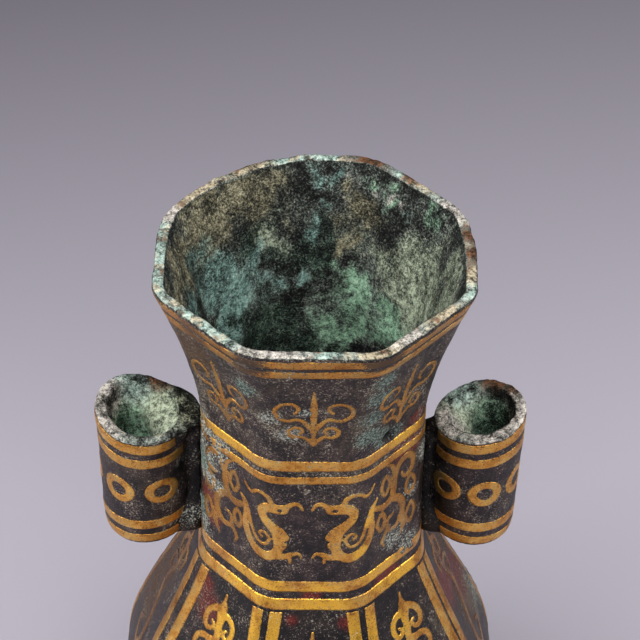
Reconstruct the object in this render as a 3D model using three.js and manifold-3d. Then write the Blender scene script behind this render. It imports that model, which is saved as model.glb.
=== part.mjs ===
// A bronze hu: an octagonal wine vase with a flared mouth, a pear-shaped belly and two tubular lugs.
// Gold strips, ring eyes, confronted birds and scrolls lie flush in grooves cut into the bronze.
// Millimetres, +Z up, origin under the centre of the foot, front facet towards -Y.
import * as THREE from "three";
import { mergeVertices } from "three/addons/utils/BufferGeometryUtils.js";
import Module from "manifold-3d";

const wasm = await Module();
wasm.setup();

// Heights of the casting's stages, from the foot up
const footEdgeHeight = 6;
const footHeight = 21;
const lowerBellyHeight = 45;
const upperBellyHeight = 82.8;
const neckHeight = 48.7;
const flareHeight = 42.5;

// Half widths across the flats of the octagon
const footApothem = 43;
const ankleApothem = 37;
const bellyApothem = 56;
const shoulderApothem = 29.3;
const waistApothem = 28.2;
const rimApothem = 38.3;

// How far the profile runs outward per millimetre of height, where its stages meet
const footCoveSlope = -0.7;
const ankleSlope = 0.95;
const shoulderSlope = -0.27;
const waistSlope = 0.1;
const rimSlope = 0.34;

// Walls and edges of the casting
const wall = 2.8;
const footWall = 4;
const cornerRadius = 6;
const rimCornerRadius = 10.5;
const sharpestCorner = 0.5;
const lipBevel = 0.8;

// The base plate, soldered up against a ledge inside the foot
const plateThickness = 3;
const ledgeWidth = 4;
const ledgeThickness = 2.5;

// The lugs: upright tubes on short webs
const lugLength = 41.2;
const lugRadius = 11.1;
const lugBoreRadius = 7.8;
const lugBevel = 0.9;
const lugFootTaper = 0.7;
const lugFootRise = 7;
const lugOutSlope = 0.2;
const leftLugBackSlope = 0.16;
const rightLugBackSlope = 0.04;
const lugDrop = 9.9;
const leftLugStandoff = 4.8;
const rightLugStandoff = 3.8;
const webThickness = 4.6;
const webCrownThickness = 5.2;
const webTopDrop = 3.4;
const webBottomRise = 0.8;

// Gold and its grooves
const fitGap = 0.3;
const goldThickness = 0.6;
const grooveOverrun = 1;
const rimBandDrop = 1.5;
const rimBandWidth = 2.6;
const rimBandSpace = 1.4;
const neckBandDrop = 0.2;
const neckUpperBandWidth = 3.4;
const neckLowerBandWidth = 2.5;
const neckBandSpace = 1.9;
const shoulderBandWidth = 4;
const shoulderBandSpace = 2.3;
const footBandRise = 1.6;
const footBandWidth = 2.8;
const stripWidth = 3.3;
const stripInset = 0.9;
const stripDrop = 1;
const panelHeight = 71;
const lugBandWidth = 3.3;
const lugBandSpace = 2.2;
const lugBandEdge = 1.3;
const lugBandWebGap = 1.2;
const eyeOuterRadius = 4.6;
const eyeInnerRadius = 2.2;
const eyeDrop = 20;
const eyeWebGap = 0.4;
const birdUnit = 1;
const birdPairShift = -1.2;
const scrollUnit = 1;
const panelScrollDrop = 1.8;
const frontScrollDrop = 4.6;

// Facets and fineness
const facets = 8;
const halfFacetTurn = Math.PI / facets;
const halfFacetTan = Math.tan(halfFacetTurn);
const outerArcSteps = 2;
const innerArcSteps = 2;
const lugSegments = 24;
const lugBandSteps = 12;
const eyeSteps = 8;
const stripSteps = 4;

const ankleZ = footHeight;
const bellyZ = ankleZ + lowerBellyHeight;
const shoulderZ = bellyZ + upperBellyHeight;
const waistZ = shoulderZ + neckHeight;
const rimZ = waistZ + flareHeight;
const neckSlope = (waistApothem - shoulderApothem) / neckHeight;

// The outer profile, stage by stage: top, half width and slopes there and below, and the rings a loft takes
const profileStages = [
  { top: footEdgeHeight, apothem: footApothem, slopes: [0, 0], rings: 1 },
  { top: ankleZ, apothem: ankleApothem, slopes: [footCoveSlope, 0], rings: 2 },
  { top: bellyZ, apothem: bellyApothem, slopes: [ankleSlope, 0], rings: 4 },
  { top: shoulderZ, apothem: shoulderApothem, slopes: [0, shoulderSlope], rings: 5 },
  { top: waistZ, apothem: waistApothem, slopes: [neckSlope, neckSlope], rings: 1 },
  { top: rimZ, apothem: rimApothem, slopes: [waistSlope, rimSlope], rings: 3 },
];
const stages = profileStages.map((stage, i) => ({
  low: i ? profileStages[i - 1].top : 0,
  high: stage.top,
  from: i ? profileStages[i - 1].apothem : footApothem,
  to: stage.apothem,
  slopes: stage.slopes,
  rings: stage.rings,
}));

// Half width and slope of the profile at a height: a cubic through each stage's ends
function profileAt(z) {
  const stage = stages.find((s) => z <= s.high) ?? stages[stages.length - 1];
  const span = stage.high - stage.low;
  const t = (z - stage.low) / span;
  const lean = stage.slopes.map((slope) => slope * span);
  const rise = stage.to - stage.from;
  const b = 3 * rise - 2 * lean[0] - lean[1];
  const c = lean[0] + lean[1] - 2 * rise;
  return {
    apothem: stage.from + t * (lean[0] + t * (b + t * c)),
    slope: (lean[0] + t * (2 * b + t * 3 * c)) / span,
  };
}

// An octagon with round corners, as points in the plane
function octagon(apothem, radius, arcSteps) {
  const round = Math.max(radius, sharpestCorner);
  const centre = (apothem - round) / Math.cos(halfFacetTurn);
  const points = [];
  for (let corner = 0; corner < facets; corner++) {
    const middle = -Math.PI / 2 + (2 * corner + 1) * halfFacetTurn;
    for (let i = 0; i <= arcSteps; i++) {
      const angle = middle + ((2 * i) / arcSteps - 1) * halfFacetTurn;
      points.push([
        centre * Math.cos(middle) + round * Math.cos(angle),
        centre * Math.sin(middle) + round * Math.sin(angle),
      ]);
    }
  }
  return points;
}

// The casting's corners open out with the flare
const cornerAt = (z) =>
  THREE.MathUtils.mapLinear(
    THREE.MathUtils.clamp(z, waistZ, rimZ), waistZ, rimZ, cornerRadius, rimCornerRadius,
  );

function geometryOf(vertices, triangles) {
  const geometry = new THREE.BufferGeometry();
  geometry.setAttribute("position", new THREE.Float32BufferAttribute(vertices.flat(), 3));
  geometry.setIndex(triangles.flat());
  return geometry;
}

// Skins rings of equal counts from first to last; open ends get flat caps, a closed run joins up
function skin(rings, closed = false) {
  const count = rings[0].length;
  const triangles = [];
  const runs = closed ? rings.length : rings.length - 1;
  for (let r = 0; r < runs; r++) {
    const here = r * count;
    const next = ((r + 1) % rings.length) * count;
    for (let i = 0; i < count; i++) {
      const j = (i + 1) % count;
      triangles.push([here + i, here + j, next + j], [here + i, next + j, next + i]);
    }
  }
  const last = (rings.length - 1) * count;
  for (let i = 1; i < count - 1 && !closed; i++) {
    triangles.push([0, i + 1, i], [last, last + i, last + i + 1]);
  }
  return geometryOf(rings.flat(), triangles);
}

function solidOf(geometry) {
  const bare = geometry.clone();
  bare.deleteAttribute("normal");
  bare.deleteAttribute("uv");
  const merged = mergeVertices(bare, 1e-4);
  const mesh = new wasm.Mesh({
    numProp: 3,
    vertProperties: merged.attributes.position.array,
    triVerts: new Uint32Array(merged.index.array),
  });
  return new wasm.Manifold(mesh);
}

function geometryFrom(solid) {
  const mesh = solid.getMesh();
  const geometry = new THREE.BufferGeometry();
  geometry.setAttribute("position", new THREE.BufferAttribute(mesh.vertProperties, 3));
  geometry.setIndex(new THREE.BufferAttribute(mesh.triVerts, 1));
  geometry.computeVertexNormals();
  return geometry;
}

const joined = (geometries) => geometries.map(solidOf).reduce((whole, next) => whole.add(next));

const bronze = new THREE.MeshStandardMaterial({ color: 0x3b2f33, roughness: 0.62, metalness: 0.75 });
const patina = new THREE.MeshStandardMaterial({ color: 0x5d6a58, roughness: 0.85, metalness: 0.35 });
const gold = new THREE.MeshStandardMaterial({ color: 0xc18f3c, roughness: 0.38, metalness: 1 });

const vase = new THREE.Group();

function addPiece(name, geometry, material) {
  const piece = new THREE.Mesh(geometry, material);
  piece.name = name;
  vase.add(piece);
}

// Octagonal loft through [half width, height] pairs, its corners rounded by their height
const loft = (stations, radiusAt, arcSteps) =>
  skin(stations.map(([apothem, z]) => octagon(apothem, radiusAt(z), arcSteps).map(([x, y]) => [x, y, z])));

// Heights at which a loft follows the profile, from one height up
function ringHeights(share) {
  const heights = [0];
  for (const stage of stages) {
    const rings = Math.ceil(stage.rings * share);
    for (let i = 1; i <= rings; i++) {
      heights.push(stage.low + ((stage.high - stage.low) * i) / rings);
    }
  }
  return heights;
}

// The casting: outside, hollow and the recess under the foot
const outsideStations = ringHeights(1)
  .filter((z) => z < rimZ)
  .map((z) => [profileAt(z).apothem, z]);
outsideStations.push([profileAt(rimZ - lipBevel).apothem, rimZ - lipBevel]);
outsideStations.push([rimApothem - lipBevel, rimZ]);

const recessApothem = ankleApothem - footWall;
const plateSeatZ = footHeight - ledgeThickness;
const hollowStations = [
  [recessApothem - ledgeWidth, plateSeatZ - fitGap],
  [recessApothem - ledgeWidth, ankleZ],
  ...ringHeights(0.5)
    .filter((z) => z > ankleZ && z < rimZ)
    .map((z) => [profileAt(z).apothem - wall, z]),
  [profileAt(rimZ - lipBevel).apothem - wall, rimZ - lipBevel],
  [rimApothem - wall + lipBevel, rimZ],
  [rimApothem - wall + lipBevel, rimZ + grooveOverrun],
];
const recessStations = [
  [footApothem - footWall, -grooveOverrun],
  [footApothem - footWall, footEdgeHeight],
  [recessApothem, plateSeatZ],
];

// A place on the vase's skin: u runs round it from a facet's centre line, w stands out of it
function onVase(facet, u, z, w) {
  const { apothem, slope } = profileAt(z);
  const corner = cornerAt(z);
  const flat = (apothem - corner) * halfFacetTan;
  const reach = flat + corner * halfFacetTurn;
  const facetsPassed = Math.round(u / (2 * reach));
  const along = u - 2 * reach * facetsPassed;
  const straight = THREE.MathUtils.clamp(along, -flat, flat);
  const turn = (along - straight) / corner;
  const tilt = Math.atan(slope);
  const round = corner + w * Math.cos(tilt);
  const out = apothem - corner + round * Math.cos(turn);
  const across = straight + round * Math.sin(turn);
  const angle = -Math.PI / 2 + (facet + facetsPassed) * 2 * halfFacetTurn;
  return [
    out * Math.cos(angle) - across * Math.sin(angle),
    out * Math.sin(angle) + across * Math.cos(angle),
    z - w * Math.sin(tilt),
  ];
}

const facetReach = (z) => (profileAt(z).apothem - cornerAt(z)) * halfFacetTan + cornerAt(z) * halfFacetTurn;

// Evenly spaced value along a list of widths
function widthAt(widths, t) {
  const place = t * (widths.length - 1);
  const i = Math.min(Math.floor(place), widths.length - 2);
  return THREE.MathUtils.lerp(widths[i], widths[i + 1], place - i);
}

// A flat ribbon along a smooth path of [across, up] points, from one level to another, grown all round
function ribbon({ path, widths, steps, closed = false, straight = false }, low, high, grow) {
  const points = path.map(([u, v]) => new THREE.Vector3(u, v, 0));
  const curve = straight
    ? new THREE.CatmullRomCurve3(points, closed, "catmullrom", 0)
    : new THREE.CatmullRomCurve3(points, closed);
  const rings = [];
  for (let i = 0; i < (closed ? steps : steps + 1); i++) {
    const t = i / steps;
    const along = curve.getTangent(t);
    const place = curve.getPoint(t);
    if (!closed && i === 0) place.addScaledVector(along, -grow);
    if (!closed && i === steps) place.addScaledVector(along, grow);
    const half = widthAt(widths, t) / 2 + grow;
    const side = [-along.y * half, along.x * half];
    rings.push([
      [place.x + side[0], place.y + side[1], low],
      [place.x + side[0], place.y + side[1], high],
      [place.x - side[0], place.y - side[1], high],
      [place.x - side[0], place.y - side[1], low],
    ]);
  }
  return skin(rings, closed);
}

// Bends a flat pattern onto a curved skin
function bent(geometry, place) {
  const position = geometry.getAttribute("position");
  for (let i = 0; i < position.count; i++) {
    position.setXYZ(i, ...place(position.getX(i), position.getY(i), position.getZ(i)));
  }
  return geometry;
}

const grooveFloor = -goldThickness - fitGap;

// Cuts a pattern of strokes in gold and sinks its groove, wider by the fit, in the piece that carries it
function inlay(name, strokes, place, grooves) {
  const pattern = (low, high, grow) => {
    const pieces = strokes.map((stroke) => ribbon(stroke, low, high, grow));
    return bent(pieces.length > 1 ? geometryFrom(joined(pieces)) : pieces[0], place);
  };
  grooves.push(solidOf(pattern(grooveFloor, grooveOverrun, fitGap)));
  const cut = geometryFrom(solidOf(pattern(-goldThickness, 0, 0)));
  addPiece(name, cut, gold);
}

// A gold band right round the vase between two heights
function roundBand(name, top, width, grooves) {
  const ring = (low, high, grow) => {
    const corner = (z, w) => {
      const { apothem, slope } = profileAt(z);
      const tilt = Math.atan(slope);
      const lift = w * Math.cos(tilt);
      const points = octagon(apothem + lift, cornerAt(z) + lift, outerArcSteps);
      return points.map(([x, y]) => [x, y, z - w * Math.sin(tilt)]);
    };
    const bottom = top - width - grow;
    const above = top + grow;
    return skin([corner(bottom, low), corner(bottom, high), corner(above, high), corner(above, low)], true);
  };
  grooves.push(solidOf(ring(grooveFloor, grooveOverrun, fitGap)));
  addPiece(name, ring(-goldThickness, 0, 0), gold);
}

const vaseGrooves = [];

// Bands at the mouth, neck, shoulder and foot
const rimBandTop = rimZ - rimBandDrop;
const rimLowerBandTop = rimBandTop - rimBandWidth - rimBandSpace;
const neckBandTop = waistZ - neckBandDrop;
const neckLowerBandTop = neckBandTop - neckUpperBandWidth - neckBandSpace;
const shoulderBandTop = shoulderZ + shoulderBandSpace / 2 + shoulderBandWidth;
const shoulderLowerBandTop = shoulderZ - shoulderBandSpace / 2;
roundBand("rim_band_upper", rimBandTop, rimBandWidth, vaseGrooves);
roundBand("rim_band_lower", rimLowerBandTop, rimBandWidth, vaseGrooves);
roundBand("neck_band_upper", neckBandTop, neckUpperBandWidth, vaseGrooves);
roundBand("neck_band_lower", neckLowerBandTop, neckLowerBandWidth, vaseGrooves);
roundBand("shoulder_band_upper", shoulderBandTop, shoulderBandWidth, vaseGrooves);
roundBand("shoulder_band_lower", shoulderLowerBandTop, shoulderBandWidth, vaseGrooves);
roundBand("foot_band", footBandRise + footBandWidth, footBandWidth, vaseGrooves);

// Strokes drawn in units, at their real size and a height
const drawn = (strokes, unit, rise) =>
  strokes.map((stroke) => ({
    ...stroke,
    path: stroke.path.map(([u, v]) => [unit * u, rise + unit * v]),
    widths: stroke.widths.map((width) => unit * width),
  }));

// Mirrors strokes about an upright line
const mirrored = (strokes, line) =>
  strokes.map((stroke) => ({ ...stroke, path: stroke.path.map(([u, v]) => [2 * line - u, v]) }));

const facetNames = ["front", "front_right", "right", "back_right", "back", "back_left", "left", "front_left"];

// Two birds face each other over the front and the back of the neck, their tails on the next facets
const bird = [
  {
    path: [[0, 8.5], [0.8, 10.2], [2.2, 10.7], [3.6, 9.8], [5.4, 8.7]],
    widths: [0.6, 1.2, 1.5, 1.7, 3],
    steps: 3,
  },
  {
    path: [[4.6, 8.2], [7, 8.9], [9.2, 8.7], [10.4, 7], [9.9, 5], [8.3, 3], [6.2, 0.6], [4.7, -1.5]],
    widths: [2.2, 3.4, 3.2, 2.6, 2.6, 2.8, 3.6, 2.8],
    steps: 6,
  },
  {
    path: [
      [6.4, 0], [6.1, -4.6], [6.9, -7.6], [9.4, -9], [12.4, -8],
      [14.8, -5.2], [15.9, -1], [15.5, 3.2], [16, 6.4], [17.4, 8.4],
    ],
    widths: [2.8, 2.4, 3.2, 3.4, 3.2, 2.8, 2.4, 2.4, 2, 0.9],
    steps: 8,
  },
  {
    path: [
      [14.9, 4.2], [14, 1.4], [13, -2.2], [11.4, -4.6], [9.6, -4.7],
      [8.5, -2.6], [9.2, -0.6], [10.5, -0.3], [11.2, -1.4], [10.4, -2.3],
    ],
    widths: [1.4, 1.2, 1.1, 1.1, 1, 0.9, 0.8, 0.6],
    steps: 9,
  },
  {
    path: [[7.6, 10], [8.6, 12.4], [10.5, 13.5], [12.3, 13], [13.6, 11.9], [15, 12.6], [16.2, 14.4]],
    widths: [1.6, 1.3, 1.2, 1, 0.6],
    steps: 4,
  },
  {
    path: [[7.4, -8.3], [4.8, -8.6], [2.6, -7.7], [1, -7.4], [0.2, -8.7]],
    widths: [2.4, 2.2, 1.6, 1, 0.6],
    steps: 3,
  },
];
const birdMiddle = (neckLowerBandTop - neckLowerBandWidth + shoulderBandTop) / 2;
const birdStrokes = drawn(bird, birdUnit, birdMiddle);
for (const [side, facet] of [["front", 0], ["back", 4]]) {
  const place = (u, v, w) => onVase(facet, u, v, w);
  inlay(`${side}_bird_right`, birdStrokes, place, vaseGrooves);
  inlay(`${side}_bird_left`, mirrored(birdStrokes, birdPairShift), place, vaseGrooves);
}

// Each belly facet has a frame of two strips that keep to its corners and meet across the bottom
const frameTop = shoulderLowerBandTop - shoulderBandWidth - stripDrop;
const frameBottom = frameTop - panelHeight;
const stripOffset = stripInset + stripWidth / 2;
const frameSide = (side) =>
  Array.from({ length: stripSteps + 1 }, (_, i) => {
    const z = THREE.MathUtils.lerp(frameTop, frameBottom, i / stripSteps);
    return [side * (facetReach(z) - stripOffset), z];
  });
const frameStroke = {
  path: [...frameSide(-1), ...frameSide(1).reverse()],
  widths: [stripWidth, stripWidth],
  steps: 2 * stripSteps + 1,
  straight: true,
};

// A scroll hangs in each frame: under a pointed tip it throws a curl to each side, then winds down to a third
const panelScroll = [
  {
    path: [[-1.6, 0], [-0.2, -9], [3.2, -20], [-2.6, -34], [-4, -43], [0.4, -48], [5, -43.5], [1.6, -39.5]],
    widths: [0.8, 3.6, 2.9, 2.8, 2.8, 2.6, 2.2, 1.2],
    steps: 8,
  },
  {
    path: [[-0.4, -6.8], [2.6, -5.7], [5.2, -7.4], [5.6, -10.6], [3.8, -12.4], [2.8, -10.6]],
    widths: [2.6, 2.2, 2, 1.7, 1],
    steps: 4,
  },
  {
    path: [[-0.4, -8], [-3, -11], [-4.2, -14.6], [-2.8, -17.4], [-0.6, -16.4], [-1.2, -14.2]],
    widths: [2.8, 2.2, 1.9, 1.5, 1],
    steps: 4,
  },
];
facetNames.forEach((facetName, facet) => {
  const place = (u, v, w) => onVase(facet, u, v, w);
  inlay(`panel_frame_${facetName}`, [frameStroke], place, vaseGrooves);
  const scrollDrop = facet % 4 === 0 ? frontScrollDrop : panelScrollDrop;
  const scroll = drawn(panelScroll, scrollUnit, frameTop - scrollDrop);
  const strokes = facet > 0 && facet < 5 ? scroll : mirrored(scroll, 0);
  inlay(`panel_scroll_${facetName}`, strokes, place, vaseGrooves);
});

const casting = vaseGrooves.reduce(
  (whole, groove) => whole.subtract(groove),
  solidOf(loft(outsideStations, cornerAt, outerArcSteps))
    .subtract(solidOf(loft(hollowStations, (z) => cornerAt(z) - wall, innerArcSteps)))
    .subtract(solidOf(loft(recessStations, (z) => cornerAt(z) - footWall, innerArcSteps))),
);
addPiece("vase_body", geometryFrom(casting), bronze);

// The base plate lies under the ledge with room for solder
const plateTop = plateSeatZ - fitGap;
const plateStations = [
  [recessApothem - fitGap, plateTop - plateThickness],
  [recessApothem - fitGap, plateTop],
];
addPiece("base_plate", loft(plateStations, (z) => cornerAt(z) - footWall, innerArcSteps), patina);

// Each lug is a tube that narrows at its foot, on a web that stops short of the neck by the fit.
// Its top slants, highest at the outside and the back, and its gold follows the slant.
const lugTop = waistZ - lugDrop;
const lugBottom = lugTop - lugLength;
const neckAtLug = profileAt((lugTop + lugBottom) / 2).apothem;
const lugFootTop = lugBottom + lugFootRise;
const neckEnvelope = [lugBottom, shoulderZ, lugTop].map((z) => [profileAt(z).apothem + fitGap, z]);
const webCrownHalf = webCrownThickness / 2;
const webCrownAngle = Math.asin(webCrownHalf / lugRadius);

// The tube's outer radius, drawn in towards its foot
function lugRadiusAt(z) {
  const inFoot = Math.max(0, 1 - (z - lugBottom) / lugFootRise);
  return lugRadius - lugFootTaper * inFoot ** 2;
}

// How far the slant lifts a place at x and y from the tube's axis
function slantAt({ side, backSlope }, x, y, z) {
  const share = Math.max(0, (z - lugFootTop) / (lugTop - lugFootTop));
  return share * (lugOutSlope * side * x + backSlope * y);
}

const axisOf = ({ side, standoff }) => side * (neckAtLug + standoff + lugRadius);

function lugGeometry(lug, grooves) {
  const bevelTop = lugBottom + lugBevel;
  const footMiddle = lugBottom + lugFootRise / 2;
  const outline = [
    [lugBoreRadius, lugBottom],
    [lugRadiusAt(lugBottom) - lugBevel, lugBottom],
    [lugRadiusAt(bevelTop), bevelTop],
    [lugRadiusAt(footMiddle), footMiddle],
    [lugRadius, lugFootTop],
    [lugRadius, lugTop - lugBevel],
    [lugRadius - lugBevel, lugTop],
    [lugBoreRadius, lugTop],
    [lugBoreRadius, lugBottom],
  ].map(([r, z]) => new THREE.Vector2(r, z));
  const tube = new THREE.LatheGeometry(outline, lugSegments);
  tube.rotateX(Math.PI / 2);
  bent(tube, (x, y, z) => [x + axisOf(lug), y, z + slantAt(lug, x, y, z)]);

  const half = webThickness / 2;
  const root = neckAtLug - wall;
  const throat = neckAtLug + lug.standoff;
  const crown = throat + lugRadius * (1 - Math.cos(webCrownAngle));
  const plan = new THREE.Shape();
  plan.moveTo(root, -half);
  plan.quadraticCurveTo(throat, -half, crown, -webCrownHalf);
  plan.lineTo(crown, webCrownHalf);
  plan.quadraticCurveTo(throat, half, root, half);
  const web = new THREE.ExtrudeGeometry(plan, {
    depth: lugLength - webTopDrop - webBottomRise,
    bevelEnabled: false,
    curveSegments: 3,
  });
  if (lug.side < 0) web.rotateZ(Math.PI);
  web.translate(0, 0, lugBottom + webBottomRise);

  const neck = loft(neckEnvelope, cornerAt, outerArcSteps);
  const whole = solidOf(tube).add(solidOf(web)).subtract(solidOf(neck));
  return geometryFrom(grooves.reduce((rest, groove) => rest.subtract(groove), whole));
}

// A place on a lug's skin: u runs round it from the front, w stands out of it
function onLug(lug, u, z, w) {
  const x = (lugRadiusAt(z) + w) * Math.sin(u / lugRadius);
  const y = -(lugRadiusAt(z) + w) * Math.cos(u / lugRadius);
  return [x + axisOf(lug), y, z + slantAt(lug, x, y, z)];
}

const bandEndAngle = webCrownAngle + lugBandWebGap / lugRadius;
const eyeEndAngle = webCrownAngle + (eyeWebGap + fitGap + eyeOuterRadius) / lugRadius;
const eyeMiddleRadius = (eyeOuterRadius + eyeInnerRadius) / 2;
const eyeWidth = eyeOuterRadius - eyeInnerRadius;
const eyeRing = (angle) => ({
  path: Array.from({ length: eyeSteps }, (_, i) => [
    angle * lugRadius + eyeMiddleRadius * Math.cos((i / eyeSteps) * 2 * Math.PI),
    lugTop - eyeDrop + eyeMiddleRadius * Math.sin((i / eyeSteps) * 2 * Math.PI),
  ]),
  widths: [eyeWidth, eyeWidth],
  steps: eyeSteps,
  closed: true,
});

// Eyes run evenly round each lug: the left has six places with one lost to the web, the right six in between
const eyePlaces = 6;
const lugs = [
  {
    name: "left",
    side: -1,
    standoff: leftLugStandoff,
    backSlope: leftLugBackSlope,
    eyeCount: eyePlaces - 1,
    firstEye: (2 * Math.PI) / eyePlaces,
  },
  {
    name: "right",
    side: 1,
    standoff: rightLugStandoff,
    backSlope: rightLugBackSlope,
    eyeCount: eyePlaces,
    firstEye: eyeEndAngle,
  },
];
for (const lug of lugs) {
  const { name, side, eyeCount, firstEye } = lug;
  const lugBandTops = [
    lugTop - lugBandEdge,
    lugTop - lugBandEdge - lugBandWidth - lugBandSpace,
    lugBottom + lugBandEdge + 2 * lugBandWidth + lugBandSpace,
    lugBottom + lugBandEdge + lugBandWidth,
  ];
  const grooves = [];
  const place = (u, v, w) => onLug(lug, u, v, w);
  const webAngle = (-side * Math.PI) / 2;
  lugBandTops.forEach((top, i) => {
    const middle = top - lugBandWidth / 2;
    const start = (webAngle + bandEndAngle) * lugRadius;
    const end = (webAngle + 2 * Math.PI - bandEndAngle) * lugRadius;
    const band = {
      path: [[start, middle], [end, middle]],
      widths: [lugBandWidth, lugBandWidth],
      steps: lugBandSteps,
      straight: true,
    };
    inlay(`${name}_lug_band_${i + 1}`, [band], place, grooves);
  });
  const eyeSpacing = (2 * Math.PI - 2 * firstEye) / (eyeCount - 1);
  for (let i = 0; i < eyeCount; i++) {
    const angle = webAngle + firstEye + i * eyeSpacing;
    inlay(`${name}_lug_eye_${i + 1}`, [eyeRing(angle)], place, grooves);
  }
  addPiece(`${name}_lug`, lugGeometry(lug, grooves), bronze);
}

export default vase;
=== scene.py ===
# A bronze hu vase with flush gold inlay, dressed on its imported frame
# Shapes are worked out in millimetres and built in metres, front towards -Y
import math
from functools import partial

import bpy
import numpy as np
from mathutils import Matrix, Vector, noise


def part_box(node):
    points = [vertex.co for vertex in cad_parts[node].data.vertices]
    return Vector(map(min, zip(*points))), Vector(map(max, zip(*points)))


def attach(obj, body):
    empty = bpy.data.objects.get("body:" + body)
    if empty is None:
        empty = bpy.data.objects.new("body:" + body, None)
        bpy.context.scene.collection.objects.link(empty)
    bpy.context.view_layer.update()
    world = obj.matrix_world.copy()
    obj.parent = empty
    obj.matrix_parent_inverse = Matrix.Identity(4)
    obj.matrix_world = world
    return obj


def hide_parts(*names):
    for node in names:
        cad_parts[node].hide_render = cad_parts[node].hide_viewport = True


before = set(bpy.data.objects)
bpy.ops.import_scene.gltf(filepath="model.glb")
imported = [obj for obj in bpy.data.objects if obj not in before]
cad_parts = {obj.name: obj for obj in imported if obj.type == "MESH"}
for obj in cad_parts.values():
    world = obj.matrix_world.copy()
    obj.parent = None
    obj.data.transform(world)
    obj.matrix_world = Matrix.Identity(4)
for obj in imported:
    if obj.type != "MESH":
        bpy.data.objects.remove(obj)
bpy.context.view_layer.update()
scene = bpy.context.scene
mm = 0.001
print("frame loaded,", len(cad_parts), "nodes")


def boxOf(node):
    low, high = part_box(node)
    return np.array(low) / mm, np.array(high) / mm


def linear(hexColour):
    channels = [int(hexColour[i:i + 2], 16) / 255 for i in (1, 3, 5)]
    return [c / 12.92 if c <= 0.04045 else ((c + 0.055) / 1.055) ** 2.4 for c in channels] + [1]


# Sets a node's inputs to constants or links
def setInputs(tree, node, inputs):
    for key, value in inputs.items():
        if isinstance(value, bpy.types.NodeSocket):
            tree.links.new(value, node.inputs[key])
        else:
            node.inputs[key].default_value = value


# Adds one node; settings are its properties
def addNode(tree, kind, inputs, **settings):
    node = tree.nodes.new("ShaderNode" + kind)
    for name, value in settings.items():
        setattr(node, name, value)
    setInputs(tree, node, inputs)
    return node


# A colour ramp, its stops hex colours or shares of white
def ramped(tree, value, stops):
    node = addNode(tree, "ValToRGB", {"Fac": value})
    ramp = node.color_ramp.elements
    while len(ramp) < len(stops):
        ramp.new(1)
    for element, (place, colour) in zip(ramp, stops):
        element.position = place
        element.color = linear(colour) if isinstance(colour, str) else (colour, colour, colour, 1)
    return node.outputs["Color"]


def mapped(tree, value, low, high, toLow=0, toHigh=1):
    return addNode(tree, "MapRange", {"Value": value, 1: low, 2: high, 3: toLow, 4: toHigh}).outputs[0]


def mixed(tree, share, colour, other, blend="MIX"):
    inputs = {0: share, 6: colour, 7: other}
    return addNode(tree, "Mix", inputs, data_type="RGBA", blend_type=blend).outputs[2]


def blended(tree, share, value, other):
    return addNode(tree, "Mix", {0: share, 2: value, 3: other}).outputs[0]


def maths(tree, operation, *values):
    return addNode(tree, "Math", dict(enumerate(values)), operation=operation).outputs[0]


# Noise whose features are that many millimetres apart
def noiseNode(tree, place, size, detail, rough):
    inputs = {"Vector": place, "Scale": 1 / (size * mm), "Detail": detail, "Roughness": rough}
    return addNode(tree, "TexNoise", inputs).outputs["Fac"]


# Relief in the shading, that many millimetres deep
def bumped(tree, height, strength, deep):
    return addNode(tree, "Bump", {"Height": height, "Strength": strength, "Distance": deep * mm}).outputs[0]


def newMaterial(name):
    material = bpy.data.materials.new(name)
    material.use_nodes = True
    tree = material.node_tree
    place = addNode(tree, "TexCoord", {}).outputs["Object"]
    return material, tree, tree.nodes["Principled BSDF"], place


def smoothStep(low, high, x):
    t = np.clip((x - low) / (high - low), 0, 1)
    return t * t * (3 - 2 * t)


# Turned askew, so that the noise's own lattice doesn't show as upright edges
askew = np.array(Matrix.Rotation(0.9, 3, Vector((1, 2, 3))))


# Noise in -1 to 1 or so, its features that many millimetres apart
def bumps(points, size, octaves=2):
    return np.array([noise.fractal(p, 1.0, 2.0, octaves) for p in (points @ askew / size).tolist()])


# Draws places aside by that many millimetres, so that patches round spots get ragged outlines
def strayed(points, far, size):
    aside = np.stack([bumps(points + shift, size, 4) for shift in (11, 50, 94)], -1)
    return points + far * aside


# How much of a patch there is at each point, fading out round each spot
def patchAt(points, spots):
    level = np.zeros(len(points))
    for x, y, z, radius in spots:
        away = np.linalg.norm(points - (x, y, z), axis=1) / radius
        level = np.maximum(level, smoothStep(1.5, 0.3, away))
    return level


# The mouth is worn and knocked out of true: bearing and spread in degrees, and loss in millimetres
mouthLoss = [
    (-22.5, 15, 0.35), (22.5, 15, 0.15), (67.5, 15, 0.1), (90, 16, -0.5), (112.5, 15, 0.75),
    (178, 27, -1.1), (203, 20, 1.9), (247.5, 15, 1.15), (292.5, 15, 0.1),
]


def wornMouth(points):
    bearing = np.degrees(np.arctan2(points[:, 0], -points[:, 1]))
    loss = np.zeros(len(points))
    for middle, spread, most in mouthLoss:
        away = (bearing - middle + 180) % 360 - 180
        loss = loss + most * np.clip(1 - (away / spread) ** 2, 0, 1) ** 2
    loss = loss * smoothStep(198, 240, points[:, 2])
    out = np.maximum(np.hypot(points[:, 0], points[:, 1]), 1)
    return points * np.stack([1 - loss / out, 1 - loss / out, np.ones(len(points))], -1)


def addMesh(name, points, faces, materials):
    mesh = bpy.data.meshes.new(name)
    mesh.from_pydata(np.asarray(points).tolist(), [], np.asarray(faces).tolist())
    for material in materials:
        mesh.materials.append(material)
    piece = bpy.data.objects.new(name, mesh)
    scene.collection.objects.link(piece)
    return piece


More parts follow.
